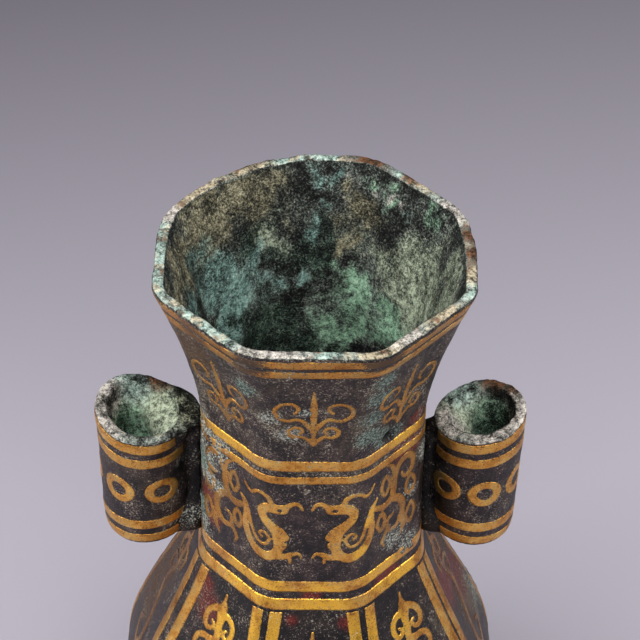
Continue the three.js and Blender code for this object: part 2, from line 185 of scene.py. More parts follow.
# Builds a piece that moves with the vase, from points in millimetres
def addPiece(name, points, faces, materials, nodes=(), marks=None, faceMaterial=None):
    piece = addMesh(name, wornMouth(np.asarray(points)) * mm, faces, materials)
    mesh = piece.data
    for mark, values in (marks or {}).items():
        mesh.attributes.new(mark, "FLOAT", "POINT").data.foreach_set("value", np.asarray(values, np.float32))
    if faceMaterial is not None:
        mesh.polygons.foreach_set("material_index", np.asarray(faceMaterial, np.int32))
    mesh.polygons.foreach_set("use_smooth", np.ones(len(mesh.polygons), bool))
    mesh.update()
    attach(piece, "root")
    if nodes:
        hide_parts(*nodes)


# Camera, fitted to the photograph: a long lens from above and in front of the mouth
camera = {
    "lens": 95.6,
    "sensor": 36,
    "elevation": 41.46,
    "azimuth": -0.81,
    "roll": 1.01,
    "distance": 416.8,
    "aim": (1.46, 0, 218.0),
}


def makeCamera(spec):
    elevation, azimuth, roll = (math.radians(spec[k]) for k in ("elevation", "azimuth", "roll"))
    back = Vector((
        math.sin(azimuth) * math.cos(elevation),
        -math.cos(azimuth) * math.cos(elevation),
        math.sin(elevation),
    ))
    place = (Vector(spec["aim"]) + back * spec["distance"]) * mm
    turn = back.to_track_quat("Z", "Y").to_matrix().to_4x4() @ Matrix.Rotation(roll, 4, "Z")
    data = bpy.data.cameras.new("camera")
    data.lens = spec["lens"]
    data.sensor_width = spec["sensor"]
    data.clip_start = 0.02
    data.clip_end = 20
    eye = bpy.data.objects.new("camera", data)
    eye.matrix_world = Matrix.Translation(place) @ turn
    scene.collection.objects.link(eye)
    scene.camera = eye


makeCamera(camera)
print("camera placed")

# Studio: paper with painted shade, darker towards the back and the left, softboxes overhead, in front and on
# each side, and a low reflector on the left
studio = {
    "paperNear": "#bab5c0",
    "paperFar": "#8c8792",
    "fadeTowards": (-0.45, 1, 0),
    "fadeFrom": 0.1,
    "fadeTo": 0.62,
    "floorSide": 6.0,
    "air": "#c9c6cf",
    "airStrength": 0.15,
    "lamps": [
        # name, place and aim in metres, width, height, watts
        ("overhead", (-0.06, -0.36, 0.94), (0, 0, 0.1), 0.8, 0.6, 8.2),
        ("left softbox", (-0.62, -0.2, 0.5), (-0.1, 0, 0.1), 0.4, 0.5, 3.2),
        ("right softbox", (0.66, -0.2, 0.5), (0.1, 0, 0.1), 0.4, 0.5, 3.1),
        ("front softbox", (0, -1.3, 0.34), (0, 0, 0.15), 0.9, 0.4, 1.9),
        ("left reflector", (-0.56, -0.3, 0.2), (0, 0, 0.21), 0.3, 0.16, 0.55),
    ],
}


def makeStudio(spec):
    # seamless studio paper, matt and slightly cool, with painted shade that darkens it towards the back and
    # the left
    paper, tree, shader, place = newMaterial("studio paper")
    along = addNode(tree, "VectorMath", {0: place, 1: spec["fadeTowards"]}, operation="DOT_PRODUCT")
    back = mapped(tree, along.outputs["Value"], spec["fadeFrom"], spec["fadeTo"])
    shade = ramped(tree, back, [(0, spec["paperNear"]), (1, spec["paperFar"])])
    setInputs(tree, shader, {"Base Color": shade, "Roughness": 0.9, "Specular IOR Level": 0.2})
    half = spec["floorSide"] / 2
    corners = [(-half, -half, 0), (half, -half, 0), (half, half, 0), (-half, half, 0)]
    floor = addMesh("floor", corners, [(0, 1, 2, 3)], [paper])

    world = bpy.data.worlds.new("studio air")
    world.use_nodes = True
    tree = world.node_tree
    air = {"Color": linear(spec["air"]), "Strength": spec["airStrength"]}
    setInputs(tree, tree.nodes["Background"], air)
    scene.world = world

    for name, where, aim, width, height, watts in spec["lamps"]:
        data = bpy.data.lights.new(name, "AREA")
        data.shape = "RECTANGLE"
        data.size = width
        data.size_y = height
        data.energy = watts
        lamp = bpy.data.objects.new(name, data)
        lamp.location = where
        lamp.rotation_euler = (Vector(aim) - Vector(where)).to_track_quat("-Z", "Y").to_euler()
        scene.collection.objects.link(lamp)
    scene.view_settings.view_transform = "Standard"


makeStudio(studio)
print("studio lit")

# The casting's outer profile: half widths across the flats at each level, and the slopes between
bodyHigh = boxOf("vase_body")[1]
rim = bodyHigh[2]
lipFoot = rim - 1.1
neckLean = (28.2 - 29.3) / 48.7
vase = {
    "levels": np.array([0, 6, 21, 66, 148.8, 197.5, rim]),
    "halfWidths": np.array([43, 43, 37, bodyHigh[0], 29.3, 28.2, 38.3]),
    "leaving": np.array([0, -0.7, 0.95, 0, neckLean, 0.1]),
    "arriving": np.array([0, 0, 0, -0.27, neckLean, 0.34]),
    "cornerLevels": [60, 110, rim],
    "corners": [6, 11.5, 10.5],
    "wall": 2.8,
    # half width and height from the ledge over the base plate down to the foot
    "under": [(29, 21.5), (29, 18.2), (33, 18.2), (34.5, 14.7), (37, 10), (39, 6), (39, 3), (39, 0)],
    "footWall": 4.0,
    "lipZone": 2.2,
    "lipSquareness": 0.75,
    # heights of the rings, from, to and how many, closer where the photograph shows more
    "outerRings": [(0, 21, 12), (21, 66, 18), (66, 112, 26), (112, 148, 36), (148, lipFoot, 137)],
    "innerRings": [(lipFoot, 186, 46), (184.6, 150, 24), (146, 71, 16), (66, 23, 9)],
    "lipRings": 7,
    "pointsPerFacet": 36,
}
facetNames = ["front", "front_right", "right", "back_right", "back", "back_left", "left", "front_left"]
eighth = math.pi / 8


def profileAt(z):
    levels, halfWidths = vase["levels"], vase["halfWidths"]
    stage = np.clip(np.searchsorted(levels, z) - 1, 0, len(levels) - 2)
    span = np.diff(levels)[stage]
    t = (z - levels[stage]) / span
    leave = vase["leaving"][stage] * span
    arrive = vase["arriving"][stage] * span
    rise = np.diff(halfWidths)[stage]
    b = 3 * rise - 2 * leave - arrive
    c = leave + arrive - 2 * rise
    halfWidth = halfWidths[stage] + t * (leave + t * (b + t * c))
    slope = (leave + t * (2 * b + 3 * t * c)) / span
    return halfWidth, slope


# The casting's corners are sharper at the foot
def cornerAt(z):
    return np.interp(z, vase["cornerLevels"], vase["corners"])


# A place on an octagon with rounded corners, that far along from a facet's middle and lifted off it
def onOctagon(facet, halfWidth, radius, along, lift=0):
    inner = halfWidth - radius
    flat = inner * math.tan(eighth)
    straight = np.clip(along, -flat, flat)
    turn = (along - straight) / radius
    out = inner + (radius + lift) * np.cos(turn)
    across = straight + (radius + lift) * np.sin(turn)
    angle = facet * 2 * eighth - math.pi / 2
    return out * np.cos(angle) - across * np.sin(angle), out * np.sin(angle) + across * np.cos(angle)


# Half the distance round an octagon from one corner's middle to the next
def facetReach(halfWidth, radius):
    return (halfWidth - radius) * math.tan(eighth) + radius * eighth


def reachAt(z):
    return facetReach(profileAt(z)[0], cornerAt(z))


# A place on the vase's skin: u runs round it from a facet's middle, w stands out of it
def onVase(facet, u, z, w):
    halfWidth, slope = profileAt(z)
    tilt = np.arctan(slope)
    span = 2 * reachAt(z)
    passed = np.round(u / span)
    x, y = onOctagon(facet + passed, halfWidth, cornerAt(z), u - span * passed, w * np.cos(tilt))
    return np.stack([x, y, z - w * np.sin(tilt)], -1)


# Rings of points, each right round the octagon
def octagonRings(halfWidths, heights, radii):
    share = np.linspace(-1, 1, vase["pointsPerFacet"], endpoint=False)
    halfWidth, height, radius = (a[:, None, None] for a in (halfWidths, heights, radii))
    facet = np.arange(8)[None, :, None]
    x, y = onOctagon(facet, halfWidth, radius, share * facetReach(halfWidth, radius))
    return np.stack([x, y, np.broadcast_to(height, x.shape)], -1).reshape(len(heights), -1, 3)


# Unevenness of skins and growth: how much, size in millimetres, octaves, and where in the noise it starts
unevenness = {
    # the gold shares the cast skin's swell
    "swell": [(0.2, 13, 2, 0), (0.06, 5, 2, 40)],
    "lining": [(0.5, 9, 3, 0), (0.22, 2.2, 3, 5)],
    "lip": [(0.25, 1.8, 3, 3), (0.2, 7, 2, 30)],
    "lipHeight": [(0.25, 14, 2, 60)],
    "lugTop": [(0.2, 1.5, 3, 3), (0.2, 5, 2, 30)],
    "bore": [(0.6, 5, 3, 8), (0.3, 1.6, 3, 0)],
    "bareCover": [(0.45, 12, 4, 70)],
    "patchCover": [(0.25, 5, 3, 7)],
    "lipCover": [(1.0, 2.4, 3, 44)],
    "lugTopCover": [(0.9, 2.2, 3, 44)],
    "boreCover": [(0.5, 2.5, 3, 7)],
    "goldWear": [(0.25, 6, 2, 12)],
}


def uneven(points, name):
    layers = unevenness[name]
    return sum(much * bumps(points + start, size, octaves) for much, size, octaves, start in layers)


# Pits in the cast skin
def pitsAt(points, deep):
    return np.minimum(bumps(points + 90, 1.9, 3) + 0.12, 0) * deep


# What burial left, as spots of x, y, z and radius
burial = {
    "crust": [
        (-28, -11, 197, 4), (-28, -12, 188, 4), (-28, -12, 178, 4), (-28, -12, 157, 4),
        (-23, -18, 189, 5), (-10, -30, 215, 3), (-6, -29, 208, 3), (-2, -31, 217, 2), (21, -19, 161, 5),
        (25, -16, 155, 4), (25, -16, 174, 3), (28, -10, 184, 4), (29, 9, 188, 8), (-29, 10, 176, 9),
        (-26, -15, 184, 4), (-25, -16, 176, 3), (-27, -13, 193, 4), (-30, -8, 183, 4), (-31, -6, 173, 4),
        (-30, -8, 163, 4), (-32, -6, 153, 4), (3, 29, 205, 9), (44, 18, 100, 12), (10, 50, 96, 12),
        (0, -42, 20, 10), (-40, 12, 14, 12),
    ],
    "green": [
        (16.7, -32.2, 228, 3.5), (15.5, -30.8, 221, 4), (14.2, -29, 213, 4), (13.5, -28, 205, 4),
        (16, -25, 203, 3.5), (17, -23.3, 200.6, 3), (19.8, -20.4, 200.6, 3), (-16, -31, 224, 3.5),
        (-28, -12, 182, 4), (-28, -12, 164, 4), (-12, 30, 214, 12), (20, 22, 180, 9), (-36, 30, 92, 16),
        (38, -10, 14, 14),
    ],
    "red": [
        (-29, -18, 139, 4), (-26, -20, 133, 5.5), (-27, -14, 170, 4), (-26, -15, 164, 4), (0, -30, 148.5, 3),
        (-5, -31, 141, 2), (9, -31, 140, 2.5), (20, -22, 149, 5), (24, -17, 192, 6), (25.5, -14.5, 200, 3),
        (38, -4, 126, 9), (42, 8, 114, 9), (16, 34, 128, 12), (-44, -20, 96, 12),
    ],
    "ochre": [
        (-34, 4, 138, 9), (-40, 6, 124, 12), (-46, 8, 108, 12), (-27, -18, 226, 9), (-33, -4, 228, 9),
        (38, 4, 130, 10), (45, 6, 110, 12), (34, -4, 226, 8), (0, 40, 120, 20),
    ],
}
# A casting flaw over the neck's upper band, on the right, with its depth and its distance from the axis; its
# hollow is painted black as painted shade
flaw = {"spots": [(18.2, -22, 199.8, 1.7)], "depth": 1.6, "out": 30}


def burialMarks(points):
    return {name: patchAt(points, spots) for name, spots in burial.items()}


# Painted shade, black, in the gaps between the lugs and the neck, less in the left one, where crust has
# grown over it, and a thinner painted shade under the front shoulder; each edge is where it starts and where
# it is full
paintedShade = {
    "gapX": [(24, 27), (38, 34)],
    "gapY": [(12.5, 9)],
    "gapZ": [(140, 146), (194, 186)],
    "leftGap": 0.75,
    "shoulderX": (40, 18),
    "shoulderZ": (150, 144),
    "shoulder": 0.75,
}


def paintedShadeAt(points):
    x, y, z = np.abs(points[:, 0]), np.abs(points[:, 1]), points[:, 2]
    inGaps = np.where(points[:, 0] < 0, paintedShade["leftGap"], 1)
    for name, along in (("gapX", x), ("gapY", y), ("gapZ", z)):
        for edge in paintedShade[name]:
            inGaps = inGaps * smoothStep(*edge, along)
    below = smoothStep(*paintedShade["shoulderZ"], z) * smoothStep(*paintedShade["shoulderX"], x) * (points[:, 1] < 0)
    return np.maximum(inGaps, paintedShade["shoulder"] * below)


# Fine dust: in drifts, thicker on the flare and between the neck's two bands, little in the gaps
dust = {
    "flare": 0.5,
    "flareFrom": (198, 206),
    "between": 1.2,
    "betweenAt": 193,
}


def dustAt(points):
    z = points[:, 2]
    drifts = smoothStep(-0.5, 0.6, bumps(points + 25, 12, 2))
    flare = dust["flare"] * smoothStep(*dust["flareFrom"], z)
    between = dust["between"] * (np.abs(z - dust["betweenAt"]) < 1)
    return (drifts + flare + between) * (1 - 0.8 * paintedShadeAt(points))


# Burial growth, 0 to 1: patches some millimetres wide, and the grains that they break up into
def growthNodes(tree, place, patchSize, streak):
    drawn = addNode(tree, "Mapping", {"Vector": place, "Scale": (1, 1, streak)}).outputs[0]
    patches = noiseNode(tree, drawn, patchSize, 8, 0.72)
    # real grains are a tenth of a millimetre; these are larger so that they can be seen
    grains = noiseNode(tree, place, 0.55, 2, 0.8)
    return blended(tree, 0.6, patches, grains), patches, grains


def markNode(tree, mark):
    return addNode(tree, "Attribute", {}, attribute_name=mark).outputs["Fac"]


# Adds each mark's share to a level of growth
def withMarks(tree, level, **shares):
    for mark, share in shares.items():
        level = maths(tree, "MULTIPLY_ADD", markNode(tree, mark), share, level)
    return level


# Lays tints over a colour where their marks are, mottled towards their edges
def tinted(tree, colour, mottle, **tints):
    spread = mapped(tree, mottle, 0.3, 0.7)
    for mark, tint in tints.items():
        amount = mapped(tree, maths(tree, "ADD", markNode(tree, mark), spread), 0.7, 1.4)
        colour = mixed(tree, amount, colour, linear(tint))
    return colour


def multiplied(tree, colour, factor):
    return mixed(tree, 1.0, colour, factor, "MULTIPLY")


# Takes that share of a colour away where its mark is
def darkened(tree, colour, mark, share):
    return multiplied(tree, colour, mapped(tree, markNode(tree, mark), 0, 1, 1, 1 - share))


# Buried bronze: cast, ground and polished once, now under a brown-black oxide film
# To the eye it is a satin purple-brown, pitted, dusted with pale grains, crusted and reddened in patches
def makeBronze():
    material, tree, shader, place = newMaterial("buried bronze")
    level, patches, grains = growthNodes(tree, place, 5, 0.8)
    film = ramped(tree, patches, [
        (0.36, "#0c0809"), (0.45, "#191213"), (0.52, "#2a1f21"), (0.6, "#392b2a"), (0.69, "#5a4b43"),
    ])
    film = tinted(tree, film, level, ochre="#452d15", red="#5c1a12")
    skin = multiplied(tree, film, mapped(tree, grains, 0.34, 0.66, 0.4, 1.6))
    slanted = addNode(tree, "Mapping", {"Vector": place, "Rotation": (0, 0.6, 0.4), "Scale": (1, 1, 0.45)})
    smears = noiseNode(tree, slanted.outputs[0], 8, 7, 0.7)
    veil = mapped(tree, withMarks(tree, smears, dust=0.05), 0.54, 0.74, 0, 0.34)
    skin = mixed(tree, veil, skin, linear("#6a5a47"))
    # painted shade: the bronze is darkened in the gaps by the lugs and under the front shoulder
    skin = darkened(tree, skin, "paintedShade", 0.8)

    grown = withMarks(tree, level, dust=0.055, crust=0.13, green=0.15)
    cover = mapped(tree, grown, 0.57, 0.69, 0, 0.9)
    pale = ramped(tree, grains, [(0.38, 0.12), (0.5, 0.4), (0.6, 0.8), (0.68, 1.0)])
    tint = tinted(tree, linear("#a59a87"), level, crust="#bdbfb2", green="#8b9d91")
    skin = mixed(tree, cover, skin, multiplied(tree, pale, tint))
    satin = mapped(tree, patches, 0.35, 0.65, 0.36, 0.54)
    setInputs(tree, shader, {
        # painted shade: the flaw's hollow is made fully black
        "Base Color": darkened(tree, skin, "flaw", 1),
        "Roughness": blended(tree, cover, satin, 0.92),
        "Specular IOR Level": 0.26,
        "Normal": bumped(tree, maths(tree, "MULTIPLY_ADD", cover, 0.6, grains), 0.7, 0.3),
    })
    return material


# Burial crust inside the vessel and the bores: malachite and azurite grains on black oxide
# To the eye it is a dull black-green with a sandy sparkle, turquoise and pale green blooms, and a chalky lip
def makeLining():
    material, tree, shader, place = newMaterial("verdigris lining")
    level = growthNodes(tree, place, 6, 0.5)[0]
    grown = withMarks(tree, mapped(tree, level, 0.37, 0.63, 0, 0.7), cover=0.4)
    bloom = ramped(tree, grown, [
        (0.05, 0.004), (0.2, 0.015), (0.32, 0.05), (0.45, 0.15), (0.6, 0.36), (0.78, 0.65), (1.0, 0.95),
    ])
    crystals = noiseNode(tree, place, 1.6, 5, 0.85)
    glint = ramped(tree, crystals, [(0.38, 0.1), (0.46, 0.45), (0.54, 0.9), (0.64, 1.25)])
    tint = tinted(
        tree, linear("#b4bdb2"), crystals, gloom="#86a792", olive="#c0b896", pale="#c6d2b4",
        malachite="#aad7b4", teal="#a6d0c4", mint="#c2dccf", cream="#dccdad", stain="#7d563a",
        white="#ddd5ca",
    )
    setInputs(tree, shader, {
        "Base Color": multiplied(tree, multiplied(tree, bloom, glint), tint),
        "Roughness": 0.85,
        "Specular IOR Level": 0.2,
        "Normal": bumped(tree, level, 0.8, 0.5),
    })
    return material


# Sheet gold, hammered into grooves, burnished flush and worn for centuries
# To the eye it is a soft ochre gold, with a painted highlight where it is brighter and smoother, with tool
# marks, dark pits and dirty edges
def makeGold():
    material, tree, shader, place = newMaterial("hammered gold")
    level, patches, grains = growthNodes(tree, place, 5, 0.8)
    metal = ramped(tree, patches, [
        (0.34, "#9c672a"), (0.45, "#c68c40"), (0.55, "#dba855"), (0.68, "#f0cb78"),
    ])
    # painted highlight: brighter, yellower gold at the highlight spots
    metal = tinted(tree, metal, patches, worn="#85592c", rubbed="#f6be46")
    soiling = withMarks(tree, grains, edge=0.1, worn=0.05, lost=0.3)
    darkening = mapped(tree, soiling, 0.56, 0.68, 0, 0.9)
    soiled = mixed(tree, darkening, metal, linear("#2e2015"))
    cover = mapped(tree, withMarks(tree, level, crust=0.08), 0.6, 0.7)
    crusted = ramped(tree, grains, [(0.36, "#3c3b30"), (0.5, "#8f9684"), (0.66, "#cfcfbf")])
    covered = maths(tree, "MAXIMUM", darkening, cover)
    polish = withMarks(tree, mapped(tree, patches, 0.35, 0.7, 0.46, 0.3), rubbed=-0.1)
    blows = noiseNode(tree, place, 1.8, 4, 0.65)
    setInputs(tree, shader, {
        "Base Color": mixed(tree, cover, soiled, crusted),
        "Metallic": maths(tree, "SUBTRACT", 1, covered),
        "Roughness": blended(tree, covered, polish, 0.88),
        "Normal": bumped(tree, blows, 0.5, 0.3),
    })
    return material


bronze = makeBronze()
lining = makeLining()
gold = makeGold()
print("materials mixed")

# Patches on the lining, then on the lip, as spots of x, y, z and radius
liningSpots = {
    "gloom": [(-10, 22, 192, 12), (-2, 24, 185, 11), (0, 30, 214, 10), (-22, 14, 198, 9), (-16, 28, 222, 8)],
    "olive": [
        (-27, 21, 234, 11), (-17, 30, 233, 10), (-30, 15, 229, 9), (-10, 33, 233, 6), (11, 31, 225, 7),
        (8, 29, 219, 4), (-33, 5, 226, 8), (-34, -2, 232, 7), (-33, -8, 229, 7),
    ],
    "pale": [
        (26, 16, 220, 9), (29, 9, 219, 9), (23, 17, 213, 8), (26, 13, 209, 8), (31, 12, 227, 6),
        (18, 23, 217, 6), (32, -3, 224, 8), (-11, 29, 220, 6), (34, 3, 231, 6), (33, -7, 229, 7),
    ],
    "malachite": [
        (10, 27, 210, 5), (11, 25, 203, 6.5), (8, 26, 195, 7), (17, 19, 197, 7), (20, 17, 203, 6),
        (31, 17, 235, 3), (17, 33, 238, 3), (18, 29, 233, 3),
    ],
    "teal": [
        (-25, 16, 215, 9), (-19, 20, 210, 9), (-13, 26, 217, 5), (-27, 15, 223, 6), (2, 35, 237, 3),
        (8, 34, 235, 3), (1, 32, 228, 2.5), (-4, 30, 222, 2.5), (-21, 16, 203, 6), (-32, 0, 219, 7),
        (22, 23, 229, 2), (-7, 27, 207, 3.5),
    ],
    "white": [(13, 34, 234, 2), (15, 33, 234, 2), (18, 30, 235, 2), (21, 26, 231, 2)],
}
lipSpots = {
    "mint": [
        (-37, 2, 240, 9), (-36, -10, 240, 8), (-26, -28, 240, 12), (-8, 38, 240, 9), (3, 38, 240, 5),
        (22, 32, 240, 3), (37, -14, 240, 5), (4, -38, 240, 5),
    ],
    "cream": [
        (-31, 22, 240, 12), (-18, 34, 240, 7), (16, -37, 240, 7), (27, 27, 240, 4), (37, -8, 240, 4),
        (30, -25, 240, 6),
    ],
    "white": [(-10, -38, 240, 8), (34, 16, 240, 5), (22, -32, 240, 5), (-37, 14, 240, 5)],
    "stain": [(14, 37, 240, 6), (24, 30, 240, 2.5), (38, 6, 240, 3), (38, -1, 240, 4), (-1, -37, 240, 1.5)],
}
liningCover = {
    "bare": -0.34, "dark": -0.18, "lip": 1.36,
    "gloom": -0.1, "olive": 0.78, "pale": 0.9, "malachite": 0.9, "teal": 0.8, "white": 1.0,
}


# Faces between closed rings of points, the last ring joined to the first
def ringFaces(grid):
    count, around = grid.shape[:2]
    ring, i = np.meshgrid(np.arange(count), np.arange(around), indexing="ij")
    after = (i + 1) % around
    above = (ring + 1) % count
    corners = [ring * around + i, ring * around + after, above * around + after, above * around + i]
    return np.stack(corners, -1).reshape(-1, 4)


# Outward directions on a grid of rings
def ringNormals(grid):
    around = np.roll(grid, -1, 1) - np.roll(grid, 1, 1)
    upward = np.roll(grid, -1, 0) - np.roll(grid, 1, 0)
    normal = np.cross(around, upward)
    return normal / np.maximum(np.linalg.norm(normal, axis=-1, keepdims=True), 1e-9)


# Marks of the lining and the lip: where their tints are, and how thickly crust covers them
def liningMarks(points, inside, onLip):
    y, z = points[:, 1], points[:, 2]
    marks = {}
    cover = liningCover["bare"] + uneven(points, "bareCover")
    # painted light: crust patches are heaped paler further down inside the mouth, standing in for light
    # reaching the depth
    deep = 0.7 * smoothStep(226, 206, z)
    upright = (1, 1, 0.7)
    inPatches = strayed(points * upright, 6, 9) / upright
    alongLip = strayed(points, 2, 4)
    for name in {**liningSpots, **lipSpots}:
        patch = patchAt(inPatches, liningSpots.get(name, []))
        marks[name] = np.select([inside, onLip], [patch, patchAt(alongLip, lipSpots.get(name, []))], 0)
        if name in liningCover:
            heaped = (liningCover[name] + deep) * patch + uneven(points, "patchCover")
            cover = np.maximum(cover, liningCover["dark"] + heaped)
    for name, start in (("cream", 200), ("stain", 260)):
        flecks = smoothStep(0.1, 0.5, bumps(points + start, 2.6, 3))
        marks[name] = np.where(onLip, np.maximum(marks[name], 0.7 * flecks), marks[name])
    crumbled = liningCover["lip"] + uneven(points, "lipCover") - 0.2 * smoothStep(10, 36, y)
    marks["cover"] = np.where(onLip, crumbled, cover)
    return marks


def makeCasting():
    wall, under, squareness = vase["wall"], vase["under"], vase["lipSquareness"]
    outer = np.concatenate([np.linspace(*run, endpoint=False) for run in vase["outerRings"]] + [[lipFoot]])
    inner = np.concatenate([np.linspace(*run) for run in vase["innerRings"]])
    bend = np.linspace(0, math.pi, vase["lipRings"] + 2)[1:-1]
    lipOut = np.sign(np.cos(bend)) * np.abs(np.cos(bend)) ** squareness
    half = np.concatenate([
        profileAt(outer)[0],
        profileAt(lipFoot)[0] - wall / 2 + wall / 2 * lipOut,
        profileAt(inner)[0] - wall,
        [a for a, z in under],
    ])
    lipUp = np.sin(bend) ** squareness
    high = np.concatenate([outer, lipFoot + (rim - lipFoot) * lipUp, inner, [z for a, z in under]])
    radii = np.concatenate([
        cornerAt(outer),
        np.linspace(cornerAt(rim), cornerAt(rim) - wall, len(bend)),
        cornerAt(inner) - wall,
        np.full(len(under), cornerAt(0) - vase["footWall"]),
    ])
    zone = np.repeat([0, 1, 2, 3], [len(outer), len(bend), len(inner), len(under)])
    grid = octagonRings(half, high, radii)
    normal = ringNormals(grid).reshape(-1, 3)
    points = grid.reshape(-1, 3)
    height = points[:, 2]
    ring = np.repeat(zone, grid.shape[1])
    outside, inside = ring == 0, ring == 2
    onLip = (ring == 1) & (normal[:, 2] > 0.4)
    marks = {**burialMarks(points), **liningMarks(points, inside, onLip)}
    heaps = np.maximum(bumps(points + 17, 2.4, 3), 0) * marks["crust"] * 0.5
    nearLip = np.clip(1 - (rim - height) / vase["lipZone"], 0, 1)
    lift = uneven(points, "swell") + nearLip * uneven(points, "lip")
    lift = lift + np.select([outside, inside], [pitsAt(points, 0.22) + heaps, uneven(points, "lining")], 0)
    level = points + normal * np.where(ring == 3, 0.3 * lift, lift)[:, None]
    level[:, 2] = np.where(height < 0.01, 0, level[:, 2])
    level[:, 2] += nearLip * uneven(points * (1, 1, 0), "lipHeight")
    marks["cover"] = np.where(outside, 0, marks["cover"])
    marks["dust"] = dustAt(points)
    # painted shade in the gaps by the lugs and under the front shoulder, less where the bronze is red
    marks["paintedShade"] = np.where(outside, paintedShadeAt(points) * (1 - 0.7 * marks["red"]), 0)
    marks["flaw"] = np.minimum(2 * patchAt(points, flaw["spots"]), 1)
    level = level * (1 - marks["flaw"][:, None] * flaw["depth"] / flaw["out"] * (1, 1, 0))
    faces = ringFaces(grid)
    faceMaterial = np.repeat(np.where((zone == 0) | (zone == 3), 0, 1), grid.shape[1])
    addPiece("vase_casting", level, faces, [bronze, lining], ["vase_body"], marks, faceMaterial)
    print("casting:", len(faces), "faces")


makeCasting()

# The lugs: stout tubes for a carrying cord, on a web against the neck, their tops slanted up to the outside
lugBox = {name: boxOf(name + "_lug") for name in ("left", "right")}
lug = {
    "radius": lugBox["right"][1][1],
    "bore": 7.8,
    "top": 187.6,
    "bottom": lugBox["right"][0][2],
    "footTaper": 0.7,
    "footRise": 7.0,
    "outSlope": 0.2,
    "around": 132,
    "topRound": 0.9,
    "bottomRound": 1.1,
    "webHalf": 2.4,
    "webFootHalf": 5.5,
    "webBottomRise": 0.2,
    "webReach": 18,
    "neckSwell": 1.2,
    "neck": 28.6,
    "crustMean": 2.8,
}
# What differs between the two lugs, left and right
lugPairs = {
    "side": (-1, 1),
    "axis": (lugBox["left"][0][0] + lug["radius"], lugBox["right"][1][0] - lug["radius"]),
    "backSlope": (0.16, 0.04),
    "webTopDrop": (0.6, 3.0),
    "crownHalf": (8.5, 0),
    "crownTurn": (0.2, 0),
    "topCover": (0.95, 1.1),
    "innerRimBare": (0.75, 0.1),
    "boreShift": (0.9, 0),
    "boreGrowth": (0.9, 0.2),
    "crustBias": (1.8, 3.0),
    "crustTowards": (1.9, -1.6),
    "boreCover": ((0.45, 1.6), (0.1, 1.65)),
    # patches of tint, as spots from the lug's axis
    "spots": ({
        "pale": [(3, 6, 182, 10), (6, 2, 184, 8)],
        "malachite": [(-6, 4, 178, 8), (0, 8, 172, 8)],
        "white": [(-10, 2, 189, 7), (-8, -6, 188, 6)],
        "mint": [(-2, 9, 188, 6)],
        "cream": [(5, -5, 185, 3)],
        "olive": [(12, 1, 187, 5)],
        "stain": [(5, 10, 189, 4)],
    }, {
        "pale": [(-5, 3, 183, 7), (-4, -3, 182, 6)],
        "malachite": [(5, 6, 178, 9)],
        "white": [(3, -10, 187, 9), (10, -2, 189, 7), (-9, -3, 186, 6)],
        "mint": [(-6, 9, 187, 6)],
        "stain": [(4, 10, 190, 5), (9, 6, 190, 4), (8, -5, 189, 2)],
    }),
}
lugs = {name: {key: pair[i] for key, pair in lugPairs.items()} for i, name in enumerate(("left", "right"))}


def lugRadiusAt(z):
    inFoot = np.clip(1 - (z - lug["bottom"]) / lug["footRise"], 0, 1)
    return lug["radius"] - lug["footTaper"] * inFoot ** 2


# Sets a place, given from the lug's axis, into the vase: the lug swells towards the neck and its top slants
def inLug(spec, x, y, z):
    inward = np.clip(-spec["side"] * x / lug["radius"], 0, 1)
    footTop = lug["bottom"] + lug["footRise"]
    share = np.clip((z - footTop) / (lug["top"] - footTop), 0, 1)
    lift = share * (lug["outSlope"] * spec["side"] * x + spec["backSlope"] * y)
    x = x - spec["side"] * lug["neckSwell"] * inward ** 2
    return np.stack([spec["axis"] + x, y, z + lift], -1)


# A place on a lug's skin: u runs round it from the front, w stands out of it
def onLug(spec, u, z, w):
    out = lugRadiusAt(z) + w
    return inLug(spec, out * np.sin(u / lug["radius"]), -out * np.cos(u / lug["radius"]), z)


# Radius and height up the outside, over the top, down the bore and across the sole
# The zones are 0 for the outside, 1 for the top, 2 for the bore and 3 for the sole
def lugOutline(spec):
    top, bottom, radius, bore = lug["top"], lug["bottom"], lug["radius"], lug["bore"]
    topRound, bottomRound = lug["topRound"], lug["bottomRound"]
    foot = lugRadiusAt(bottom) - bottomRound
    mouth = bore + spec["boreGrowth"]
    quarter = np.linspace(0, math.pi / 2, 6)
    depths = np.linspace(top - 0.5, bottom + 0.5, 40)
    low = [(foot + bottomRound * math.sin(a), bottom + bottomRound * (1 - math.cos(a))) for a in quarter]
    wall = [(lugRadiusAt(z), z) for z in np.linspace(bottom + bottomRound, top - topRound, 60)[1:-1]]
    high = [(radius - topRound * (1 - math.cos(a)), top - topRound * (1 - math.sin(a))) for a in quarter]
    crown = [(r, top) for r in np.linspace(radius - topRound, mouth + 0.4, 7)[1:]]
    shaft = [(bore + spec["boreGrowth"] * smoothStep(top - 10, top, z), z) for z in depths]
    sole = [(r, bottom) for r in np.linspace(bore + 0.4, foot, 4)[:-1]]
    runs = [low, wall, high, crown, shaft, sole]
    return np.concatenate(runs), np.repeat([0, 0, 1, 1, 2, 3], [len(run) for run in runs])


